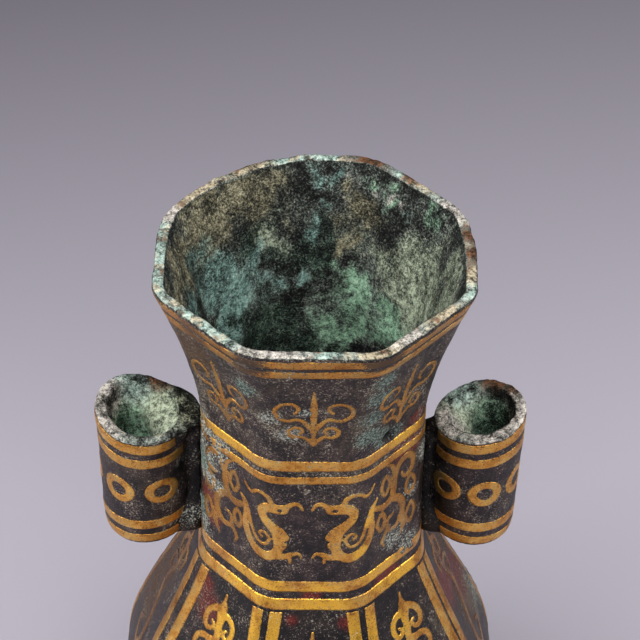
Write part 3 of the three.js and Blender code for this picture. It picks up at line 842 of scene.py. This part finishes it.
# The web stands out of the tube towards the neck, thick at its foot; the left lug's top runs out into it
# Gives how far each place belongs to it, and how far out it reaches
def webAt(spec, turn, z):
    top, bottom, radius = lug["top"], lug["bottom"], lug["radius"]

    def besideWeb(swing):
        away = np.abs((turn - swing + spec["side"] * math.pi / 2 + math.pi) % (2 * math.pi) - math.pi)
        return away, np.where(away < math.pi / 2, radius * np.sin(away), radius)

    away, aside = besideWeb(0)
    half = lug["webHalf"] + (lug["webFootHalf"] - lug["webHalf"]) * smoothStep(bottom + 16, bottom + 4, z)
    webFoot, webTop = bottom + lug["webBottomRise"], top - spec["webTopDrop"]
    web = 1 - smoothStep(0.6 * half, 1.3 * half, aside)
    web = web * smoothStep(webFoot - 0.3, webFoot + 0.8, z)
    if spec["crownHalf"]:
        drop = np.clip(1 - besideWeb(spec["crownTurn"])[1] / spec["crownHalf"], 0, 1) ** 1.1
        web = np.maximum(web, drop * smoothStep(top - 7, top - 2, z))
    web = web * (1 - smoothStep(webTop - 0.6, webTop + 0.6, z))
    reach = (abs(spec["axis"]) - lug["neck"] - lug["neckSwell"]) / np.cos(np.minimum(away, 0.6))
    return web, np.minimum(reach, lug["webReach"])


# Marks of a lug, from how far each point belongs to the web, to the bore's crust and to the painted shade
# round the bore's mouth
def lugMarks(spec, points, ring, web, filled, mouthShade):
    x, y, z = points.T
    marks = burialMarks(points)
    # painted shade: the whole web below the top, and the gaps beside it, are darkened
    darkening = np.maximum(paintedShadeAt(points), web * (z < lug["top"] - 4))
    marks["paintedShade"] = np.where(ring == 0, darkening, 0)
    for mark in ("crust", "green"):
        marks[mark] = marks[mark] * (1 - 0.3 * marks["paintedShade"])
    marks["dust"] = dustAt(points) * (1 - 0.8 * marks["paintedShade"])
    for mark, spots in spec["spots"].items():
        spots = [(spec["axis"] + out, *rest) for out, *rest in spots]
        marks[mark] = np.where((ring == 1) | (ring == 2), patchAt(points, spots), 0)
    crumbled = spec["topCover"] + uneven(points, "lugTopCover") - 0.3 * smoothStep(2, 10, y)
    crumbled = crumbled - spec["innerRimBare"] * smoothStep(7, 10, spec["side"] * (spec["axis"] - x))
    # painted shade round the bore's mouth, as less crust there, coming and going
    mouthShade = 0.9 * mouthShade * smoothStep(-0.3, 0.3, bumps(points + 55, 4, 2))
    least, most = spec["boreCover"]
    heaped = least + (most - least) * filled - 0.3 * np.clip((lug["top"] - z) / 16, 0, 1)
    heaped = heaped + uneven(points * (1, 1, 0.4), "boreCover")
    marks["cover"] = np.select([ring == 1, ring == 2], [crumbled - mouthShade, heaped - mouthShade], 0)
    return marks


def makeLug(name, spec):
    top, radius, around = lug["top"], lug["radius"], lug["around"]
    mouth = lug["bore"] + spec["boreGrowth"]
    outline, zone = lugOutline(spec)
    turn = (np.arange(around) / around * 2 * math.pi)[None, :]
    r, z = (np.repeat(outline[:, [k]], around, 1) for k in (0, 1))
    onTop, inShaft = (zone == 1)[:, None], (zone == 2)[:, None]
    web, reach = webAt(spec, turn, z)
    onSkin = (zone == 0)[:, None] | onTop & (r > radius - 0.8)
    r = np.where(onSkin, r + (reach - radius) * web, r)
    # Crust narrows the bore below its mouth, more on one side
    crust = lug["crustMean"] + spec["crustBias"] * np.cos(turn - spec["crustTowards"])
    filled = np.broadcast_to(np.clip(crust / (lug["crustMean"] + spec["crustBias"]), 0, 1), r.shape)
    crust = np.maximum(crust, 0) * smoothStep(top - 0.5, top - 7, z)
    r = np.where(inShaft, r - crust, r)
    inBore = inShaft | onTop & (r < mouth + 0.6)
    aside = spec["side"] * spec["boreShift"] * smoothStep(top - 12, top, z)
    x = r * np.sin(turn) - np.where(inBore, aside, 0)
    grid = inLug(spec, x, -r * np.cos(turn), z)
    points = grid.reshape(-1, 3)
    ring = np.repeat(zone, around)
    skin = uneven(points, "swell") + pitsAt(points, 0.2)
    zoneLifts = [skin, uneven(points, "lugTop"), uneven(points, "bore")]
    lift = np.select([ring == 0, ring == 1, ring == 2], zoneLifts, 0.3 * skin)
    level = points + ringNormals(grid).reshape(-1, 3) * lift[:, None]
    # painted shade: a dark ring of thinner crust at the bore's mouth, near the top
    mouthShade = smoothStep(0.9, 0.2, np.abs(r - mouth)) * smoothStep(4, 2, top - z)
    marks = lugMarks(spec, points, ring, web.ravel(), filled.ravel(), mouthShade.ravel())
    faceMaterial = np.repeat(np.where((zone == 1) | (zone == 2), 1, 0), around)
    faces = ringFaces(grid)
    piece = name + "_lug"
    addPiece(piece + "_casting", level, faces, [bronze, lining], [piece], marks, faceMaterial)


for lugName, lugSpec in lugs.items():
    makeLug(lugName, lugSpec)
print("lugs made")

# Gold inlay: how it sits in the bronze, in millimetres
inlay = {
    "proud": 0.08,
    "shoulder": 0.28,
    "depth": 0.45,
    "step": 0.3,
    "raggedness": 0.06,
    "dirtyEdge": 0.55,
    "bandAround": 420,
    "bandColumns": 9,
}
# Where a highlight is painted into the gold's colour and its roughness is lowered, as spots of x, y, z and
# radius
rubbedSpots = [
    (-20, -21, 196, 6), (-24, -17, 195, 4), (23, -18, 196, 6), (-12, -28, 151, 7), (-18, -24, 150, 6),
    (2, -31, 145, 9), (18, -24, 152, 7), (24, -20, 146, 6), (-12, -30, 136, 8), (13, -31, 136, 8),
    (14, -27, 176, 4), (13, -28, 164, 3), (-22, -26, 132, 6), (22, -26, 132, 6), (20, 23, 150, 10),
]
# Where it is worn down to a brown stain
wornSpots = [
    (-15.5, -36, 236, 4), (16, -36, 238, 3), (-28, -24, 236, 6), (-34, 0, 120, 16), (-46, 4, 106, 18),
    (36, 2, 126, 14), (46, 4, 106, 18),
]
# Where it is gone, at the rim's front corners
lostSpots = [(-14.6, -37, 236, 4), (-17, -35, 234, 3), (14.6, -37, 238, 4), (18, -35, 237, 3)]


# How far gold stands out of the bronze, and how dirty it is, that far in from its edge
def goldEdge(depth):
    rise = inlay["proud"] * np.sqrt(np.clip(depth / inlay["shoulder"], 0, 1))
    return rise, np.clip(1 - depth / inlay["dirtyEdge"], 0, 1)


# A piece of gold: it stands for the node of its name, or else it is trim
def addGold(name, points, faces, edge, wear):
    ebb = uneven(points, "goldWear")
    marks = {
        "edge": edge,
        "crust": patchAt(points, burial["crust"]),
        "rubbed": np.clip(patchAt(points, rubbedSpots) + ebb, 0, 1),
        "worn": np.clip(np.maximum(wear, 0.9 * patchAt(points, wornSpots)) - ebb, 0, 1),
        "lost": patchAt(points, lostSpots),
    }
    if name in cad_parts:
        addPiece(name + "_gold", points, faces, [gold], [name], marks)
    else:
        addPiece(name, points, faces, [gold], marks=marks)


# Smooth line through drawn points, with its half width
def smoothLine(path, widths, closed=False, perSpan=9):
    p = np.array(path, float)
    if closed:
        p = np.vstack([p[-1], p, p[0], p[1]])
    else:
        p = np.vstack([2 * p[0] - p[1], p, 2 * p[-1] - p[-2]])
    t = (np.arange(perSpan) / perSpan)[:, None]
    spans = []
    for a, b, c, d in zip(p, p[1:], p[2:], p[3:]):
        spans.append(0.5 * (2 * b + (c - a) * t + (2 * a - 5 * b + 4 * c - d) * t ** 2
                            + (3 * b - a - 3 * c + d) * t ** 3))
    line = np.vstack(spans + [p[-2:-1]])
    share = np.linspace(0, 1, len(line))
    half = np.interp(share, np.linspace(0, 1, len(widths)), widths) / 2
    return line, half


# Distance from each spot to a line of that half width, below zero inside it
def lineField(spots, line, half):
    field = np.full(len(spots), 1e9)
    for a, b, ra, rb in zip(line, line[1:], half, half[1:]):
        run = b - a
        t = np.clip(((spots - a) @ run) / max(run @ run, 1e-9), 0, 1)
        away = np.hypot(spots[:, 0] - a[0] - t * run[0], spots[:, 1] - a[1] - t * run[1])
        field = np.minimum(field, away - (ra + t * (rb - ra)))
    return field


# Union of two fields with a soft inner corner
def softUnion(a, b, soft=0.5):
    h = np.clip(0.5 + 0.5 * (b - a) / soft, 0, 1)
    return b * (1 - h) + a * h - soft * h * (1 - h)


def strokesField(spots, strokes):
    field = np.full(len(spots), 1e3)
    for stroke in strokes:
        field = softUnion(field, lineField(spots, *smoothLine(*stroke)))
    return field


# Cuts a flat pattern out of sheet gold and lays it on a curved skin
def layGold(name, low, high, fieldOf, place, seed, wear=0.1):
    step = inlay["step"]
    us = np.arange(low[0] - 1, high[0] + 1 + step, step)
    vs = np.arange(low[1] - 1, high[1] + 1 + step, step)
    u, v = np.meshgrid(us, vs, indexing="ij")
    spots = np.stack([u.ravel(), v.ravel()], -1)
    ragged = np.column_stack([spots, np.full(len(spots), 31.0 * seed)])
    field = fieldOf(spots)
    near = np.abs(field) < 2
    field[near] += inlay["raggedness"] * (bumps(ragged[near], 1.6, 2) + 0.6 * bumps(ragged[near], 0.7, 1))
    field = field.reshape(u.shape)
    kept = field < 0.5 * step
    cell = kept[:-1, :-1] & kept[1:, :-1] & kept[1:, 1:] & kept[:-1, 1:]
    index = np.arange(u.size).reshape(u.shape)
    quads = np.stack([index[:-1, :-1], index[1:, :-1], index[1:, 1:], index[:-1, 1:]], -1)[cell]
    # Edges that belong to one face only are the outline
    sides = np.concatenate([quads[:, [0, 1]], quads[:, [1, 2]], quads[:, [2, 3]], quads[:, [3, 0]]])
    keys = np.sort(sides, 1) @ np.array([u.size, 1])
    _, first, count = np.unique(keys, return_index=True, return_counts=True)
    outline = sides[first[count == 1]]
    rimSpots = np.unique(outline)
    slopeU, slopeV = np.gradient(field, step)
    steep = np.maximum(np.hypot(slopeU, slopeV), 0.3)
    moved = spots.copy()
    push = (field / steep).ravel()[rimSpots]
    moved[rimSpots, 0] -= push * (slopeU / steep).ravel()[rimSpots]
    moved[rimSpots, 1] -= push * (slopeV / steep).ravel()[rimSpots]
    depth = np.maximum(-field.ravel(), 0)
    depth[rimSpots] = 0
    used = np.unique(quads)
    number = np.full(u.size, -1)
    number[used] = np.arange(len(used))
    flat = moved[used]
    depth = depth[used]
    swell = uneven(place(*flat.T, np.zeros(len(flat))), "swell")
    rise, edge = goldEdge(depth)
    topSide = place(*flat.T, swell + rise)
    underSide = place(*flat.T, swell - inlay["depth"])
    quads = number[quads]
    outline = number[outline]
    total = len(used)
    walls = np.stack([outline[:, 1], outline[:, 0], outline[:, 0] + total, outline[:, 1] + total], -1)
    faces = np.concatenate([quads, quads[:, ::-1] + total, walls])
    points = np.concatenate([topSide, underSide])
    addGold(name, points, faces, np.concatenate([edge, np.ones(total)]), wear)


# A gold band right round the vase, between the heights that its node has
def layBand(node, wear, trim):
    around = inlay["bandAround"]
    low, high = boxOf(node)
    low[2] += trim
    share = np.linspace(-1, 1, inlay["bandColumns"])
    turn = np.arange(around)
    z = low[2] + (high[2] - low[2]) * (share + 1) / 2
    reach = reachAt(z)[:, None]
    u = turn[None, :] / around * 16 * reach
    skin = onVase(0, u, np.repeat(z[:, None], around, 1), np.zeros(u.shape)).reshape(-1, 3)
    ragged = inlay["raggedness"] * (bumps(skin, 2.2, 2) + bumps(skin, 0.8, 1))
    heights = z[:, None] + ragged.reshape(u.shape) * np.abs(share[:, None]) ** 3
    depth = (1 - np.abs(share[:, None])) * (high[2] - low[2]) / 2 + 0 * u
    swell = uneven(skin, "swell").reshape(u.shape)
    rise, edge = goldEdge(depth)
    topSide = onVase(0, u, heights, swell + rise)
    underSide = onVase(0, u, heights, swell - inlay["depth"])[[-1, 0]]
    grid = np.concatenate([topSide, underSide])
    edge = np.concatenate([edge, np.ones((2, around))])
    addGold(node, grid.reshape(-1, 3), ringFaces(grid), edge.ravel(), wear)


# Each band's wear, and how far its gold stops short of its groove's lower edge
bands = {
    "rim_band_upper": (0.45, 0),
    "rim_band_lower": (0.35, 0),
    "neck_band_upper": (0.15, 0),
    "neck_band_lower": (0.2, 0),
    "shoulder_band_upper": (0.05, 0),
    "shoulder_band_lower": (0.05, 0.7),
    "foot_band": (0.2, 0),
}
for bandName, (bandLoss, bandTrim) in bands.items():
    layBand(bandName, bandLoss, bandTrim)
print("bands laid")


# Strokes are tuples of a path, its widths from end to end, and whether it is closed
def mirrored(strokes, line):
    return [([(2 * line - u, v) for u, v in path], *rest) for path, *rest in strokes]


def raised(strokes, rise, aside=0):
    return [([(u + aside, v + rise) for u, v in path], *rest) for path, *rest in strokes]


def layStrokes(name, strokes, facet, seed, wear=0.1, hole=None):
    def fieldOf(spots):
        field = strokesField(spots, strokes)
        if hole:
            u, v, radius = hole
            field = np.maximum(field, radius - np.hypot(spots[:, 0] - u, spots[:, 1] - v))
        return field

    drawn = np.vstack([path for path, *rest in strokes])
    layGold(name, drawn.min(0) - 2, drawn.max(0) + 2, fieldOf, partial(onVase, facet), seed, wear)


# Birds: they face each other over the front and the back of the neck, drawn from the pair's middle height
bird = {
    "strokes": [
        ([(0, 8.5), (0.8, 10.2), (2.2, 10.7), (3.6, 9.8), (5.4, 8.7)], [0.6, 1.2, 1.5, 1.7, 3]),
        ([
            (4.6, 8.2), (7, 8.9), (9.2, 8.7), (10.4, 7), (9.9, 5), (8.3, 3), (6.2, 0.6), (4.7, -1.5),
        ], [2.2, 3.4, 3.2, 2.6, 2.6, 2.8, 3.6, 2.8]),
        ([
            (6.4, 0), (6.1, -4.6), (6.9, -7.6), (9.4, -9), (12.4, -8), (14.8, -5.2), (15.9, -1),
            (15.5, 3.2), (16, 6.4), (17.4, 8.4),
        ], [2.8, 2.4, 3.2, 3.4, 3.2, 2.8, 2.4, 2.4, 2, 0.9]),
        ([
            (14.9, 4.2), (14, 1.4), (13, -2.2), (11.4, -4.6), (9.6, -4.7), (8.5, -2.6), (9.2, -0.6),
            (10.5, -0.3), (11.2, -1.4), (10.4, -2.3),
        ], [1.4, 1.2, 1.1, 1.1, 1, 0.9, 0.8, 0.6]),
        ([
            (7.6, 10), (8.6, 12.4), (10.5, 13.5), (12.3, 13), (13.6, 11.9), (15, 12.6), (16.2, 14.4),
        ], [1.6, 1.3, 1.2, 1, 0.6]),
        ([(7.4, -8.3), (4.8, -8.6), (2.6, -7.7), (1, -7.4), (0.2, -8.7)], [2.4, 2.2, 1.6, 1, 0.6]),
        ([(3.6, -8.4), (3.2, -9.7), (3.1, -11)], [1.4, 1, 0.6]),
        ([(5.6, -5.6), (4.6, -5), (4.3, -3.9), (5, -3.3)], [1.2, 0.9, 0.7, 0.4]),
    ],
    "eye": (5.7, 8.3, 0.6),
    "mirrorLine": -1.2,
    "wear": 0.1,
    "seed": 1,
}
birdLow, birdHigh = boxOf("neck_band_lower")[0][2], boxOf("shoulder_band_upper")[1][2]
birdMiddle = (birdLow + birdHigh) / 2


# Lays a drawing on the right of the front and the back, and its mirror image on the left
def layPairs(kind, spec):
    line, wear = spec["mirrorLine"], spec["wear"]
    for side, facet in (("front", 0), ("back", 4)):
        right = raised(spec["strokes"], birdMiddle)
        eyes = [None, None]
        if "eye" in spec:
            u, v, radius = spec["eye"]
            eyes = [(x, v + birdMiddle, radius) for x in (u, 2 * line - u)]
        name = f"{side}_{kind}_"
        seed = spec["seed"] + facet
        layStrokes(name + "right", right, facet, seed, wear, eyes[0])
        layStrokes(name + "left", mirrored(right, line), facet, seed + 1, wear, eyes[1])


layPairs("bird", bird)
print("birds laid")

# Tail scrolls: trim behind each bird, on the next facet, half hidden by crust
tail = {
    "strokes": [
        ([
            (17.2, 5), (20, 3.6), (22.6, 4.6), (23.8, 8), (24, 12), (25.6, 15.2), (28.4, 16),
            (30.6, 13.6), (30, 10.2), (27.8, 9.2), (26.6, 11),
        ], [1.8, 2.6, 2.6, 2.4, 2.4, 2.3, 2.2, 2, 1.8, 1.5, 1.1]),
        ([
            (22.6, 4.6), (25.4, 3), (27.2, 0), (27, -4), (24.8, -7), (22.2, -6), (21.8, -3),
            (23.8, -1.6),
        ], [2.6, 2.6, 2.5, 2.3, 2, 1.7, 1.5, 1.1]),
        ([(20.4, 14), (22, 11), (20.6, 7.4), (19, 10.6)], [1.4], True),
        ([(29.8, 8), (31.6, 5), (30, 1.4), (28.2, 4.6)], [1.4], True),
        ([(19.4, 1.4), (20.8, -1.4), (19.6, -4.8), (18, -1.6)], [1.4], True),
        ([(30.6, -2.4), (32.2, -5.6), (30.6, -9.4), (28.9, -6)], [1.4], True),
        ([(27, -4), (28, -9), (26.4, -12.6)], [2, 1.9, 0.6]),
        ([(24, 12), (22.8, 15.8), (20.6, 17.8)], [2, 1.5, 0.6]),
        ([(21.6, -6.4), (20.2, -9.2), (21, -11.8)], [1.7, 1.4, 0.6]),
    ],
    "mirrorLine": -0.9,
    "wear": 0.5,
    "seed": 11,
}
layPairs("tail", tail)
print("tails laid")

# Panels: a frame of two strips joined across the bottom, and a running scroll, on each belly facet
panel = {
    "stripWidth": 3.3,
    "stripInset": 0.9,
    "stripRise": 0.5,
    "scrollDrop": 2.9,
    "frontScrollDrop": 6.0,
    "frontShift": 0.9,
    "frameSeed": 21,
    "scrollSeed": 31,
    "scroll": [
        ([
            (0.4, 0), (0.4, -2), (0.3, -4), (0.3, -6.4), (0.1, -8.6), (0.1, -11.2), (-0.2, -14.1),
            (2.4, -23), (-2.6, -34), (-4, -43), (0.4, -48), (5, -43.5), (1.6, -39.5),
        ], [0.7, 1.2, 2.8, 3.2, 2.4, 2.3, 2.3, 2.6, 2.8, 2.8, 2.6, 2.2, 1.2]),
        ([
            (0.6, -4.3), (3.1, -5.5), (4.9, -7.6), (5.3, -10.1), (4.2, -11.9), (2.5, -11.5), (2, -10),
            (2.9, -9.3),
        ], [2.4, 2, 1.9, 1.8, 1.6, 1.4, 1.1, 0.8]),
        ([
            (-0.1, -5.7), (-2.3, -5.8), (-4.1, -7.2), (-4.6, -9.4), (-3.9, -11.5), (-2.4, -11.6),
            (-1.9, -10.2), (-2.7, -9.4),
        ], [2.4, 2, 1.9, 1.8, 1.6, 1.4, 1.1, 0.8]),
        ([
            (-0.2, -13.9), (2.1, -14.5), (4.1, -14.6), (6, -15.8), (6.4, -18.2), (5.2, -20), (3.8, -19),
        ], [2.2, 2, 1.9, 1.8, 1.6, 1.2, 0.8]),
    ],
}


def layPanel(facetName, facet):
    frameName = "panel_frame_" + facetName
    low, high = boxOf(frameName)
    top, bottom = high[2] + panel["stripRise"], low[2]
    width = panel["stripWidth"]
    inset = panel["stripInset"] + width / 2
    heights = np.linspace(top + 3, bottom + width / 2, 40)

    def frameField(spots):
        u, v = spots.T
        middle = reachAt(np.clip(v, 0, rim)) - inset
        strips = np.abs(np.abs(u) - middle) - width / 2
        bar = np.maximum(np.abs(v - bottom - width / 2) - width / 2, np.abs(u) - middle)
        return np.maximum(np.minimum(strips, bar), np.maximum(v - top, bottom - v))

    edge = reachAt(heights).max()
    shift = panel["frontShift"] if facet in (0, 1, 7) else 0

    def place(u, v, w):
        return onVase(facet, u + shift, v, w)

    layGold(frameName, (-edge, bottom), (edge, top), frameField, place, panel["frameSeed"] + facet)
    drop = panel["frontScrollDrop"] if facet % 4 == 0 else panel["scrollDrop"]
    strokes = panel["scroll"]
    if facet in (0, 5, 6, 7):
        strokes = mirrored(strokes, 0)
    strokes = raised(strokes, top - drop, shift)
    layStrokes("panel_scroll_" + facetName, strokes, facet, panel["scrollSeed"] + facet)


for number, facetName in enumerate(facetNames):
    layPanel(facetName, number)
print("panels laid")

# Palmettes: a plain curled ornament on the flare's open facets
palmette = {
    "height": 22,
    # middle across and up, wide and tight radius of each curl
    "curls": [(5.6, 3.2, 4.6, 1.6), (3.9, -5.4, 2.6, 1.0)],
    # where a curl starts and how far it goes, in turns
    "curlStart": -0.34,
    "curlTurn": 0.96,
    "curlWidths": [1.3, 1.2, 1.0],
    "stemWidths": [0.9, 1.3, 2, 0.6],
    "facets": (0, 1, 3, 4, 5, 7),
    "wear": 0.4,
    "seed": 41,
}


def palmetteStrokes(spec, middle):
    half = spec["height"] / 2
    strokes = [([(0, -half), (0, -half / 3), (0, half / 3), (0, half)], spec["stemWidths"])]
    for across, up, wide, tight in spec["curls"]:
        curl = [(0, up - 1.9 * wide)]
        for share in np.linspace(0, 1, 9):
            turn = (spec["curlStart"] + spec["curlTurn"] * share) * 2 * math.pi
            radius = wide + (tight - wide) * share
            curl.append((across + radius * math.cos(turn), up + radius * math.sin(turn)))
        strokes.append((curl, spec["curlWidths"]))
        strokes += mirrored(strokes[-1:], 0)
    return raised(strokes, middle)


flareMiddle = (boxOf("rim_band_lower")[0][2] + boxOf("neck_band_upper")[1][2]) / 2
for facet in palmette["facets"]:
    strokes = palmetteStrokes(palmette, flareMiddle)
    seed = palmette["seed"] + facet
    layStrokes("palmette_" + facetNames[facet], strokes, facet, seed, palmette["wear"])
print("palmettes laid")

# Lug bands and ring eyes
lugGold = {
    "bandWidth": 3.3,
    "bandEdge": 1.3,
    "bandSpace": 2.2,
    "webGap": 0.34,
    "eyeDrop": 20.0,
    "eyeOuter": 4.6,
    "eyeInner": 2.1,
    "wear": 0.15,
    "bandSeed": 51,
    "eyeSeed": 61,
}


def layLugGold(name, spec):
    radius = lug["radius"]
    webAngle = -spec["side"] * math.pi / 2
    place = partial(onLug, spec)
    start = (webAngle + lugGold["webGap"]) * radius
    end = (webAngle + 2 * math.pi - lugGold["webGap"]) * radius
    width, edge, space = lugGold["bandWidth"], lugGold["bandEdge"], lugGold["bandSpace"]
    bandTops = [
        lug["top"] - edge, lug["top"] - edge - width - space,
        lug["bottom"] + edge + 2 * width + space, lug["bottom"] + edge + width,
    ]
    for number, bandTop in enumerate(bandTops, 1):
        middle = bandTop - width / 2

        def bandField(spots):
            along = np.abs(spots[:, 0] - (start + end) / 2) - (end - start) / 2
            return np.maximum(along, np.abs(spots[:, 1] - middle) - width / 2)

        node = f"{name}_lug_band_{number}"
        ends = (start, bandTop - width), (end, bandTop)
        layGold(node, *ends, bandField, place, lugGold["bandSeed"] + number, lugGold["wear"])
    ring = (lugGold["eyeOuter"] + lugGold["eyeInner"]) / 2
    line = lugGold["eyeOuter"] - lugGold["eyeInner"]
    eyeHeight = lug["top"] - lugGold["eyeDrop"]
    count = sum(n.startswith(name + "_lug_eye_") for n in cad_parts)
    for number in range(1, count + 1):
        node = f"{name}_lug_eye_{number}"
        low, high = boxOf(node)
        x, y = (low[:2] + high[:2]) / 2 - (spec["axis"], 0)
        middle = math.atan2(x, -y) * radius

        def eyeField(spots):
            return np.abs(np.hypot(spots[:, 0] - middle, spots[:, 1] - eyeHeight) - ring) - line / 2

        reach = lugGold["eyeOuter"] + 0.6
        ends = (middle - reach, eyeHeight - reach), (middle + reach, eyeHeight + reach)
        layGold(node, *ends, eyeField, place, lugGold["eyeSeed"] + number, lugGold["wear"])


for lugName, lugSpec in lugs.items():
    layLugGold(lugName, lugSpec)
print("lug gold laid")

# The soldered base plate keeps its shape and takes the bronze's finish
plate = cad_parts["base_plate"]
plate.data.materials.clear()
plate.data.materials.append(bronze)
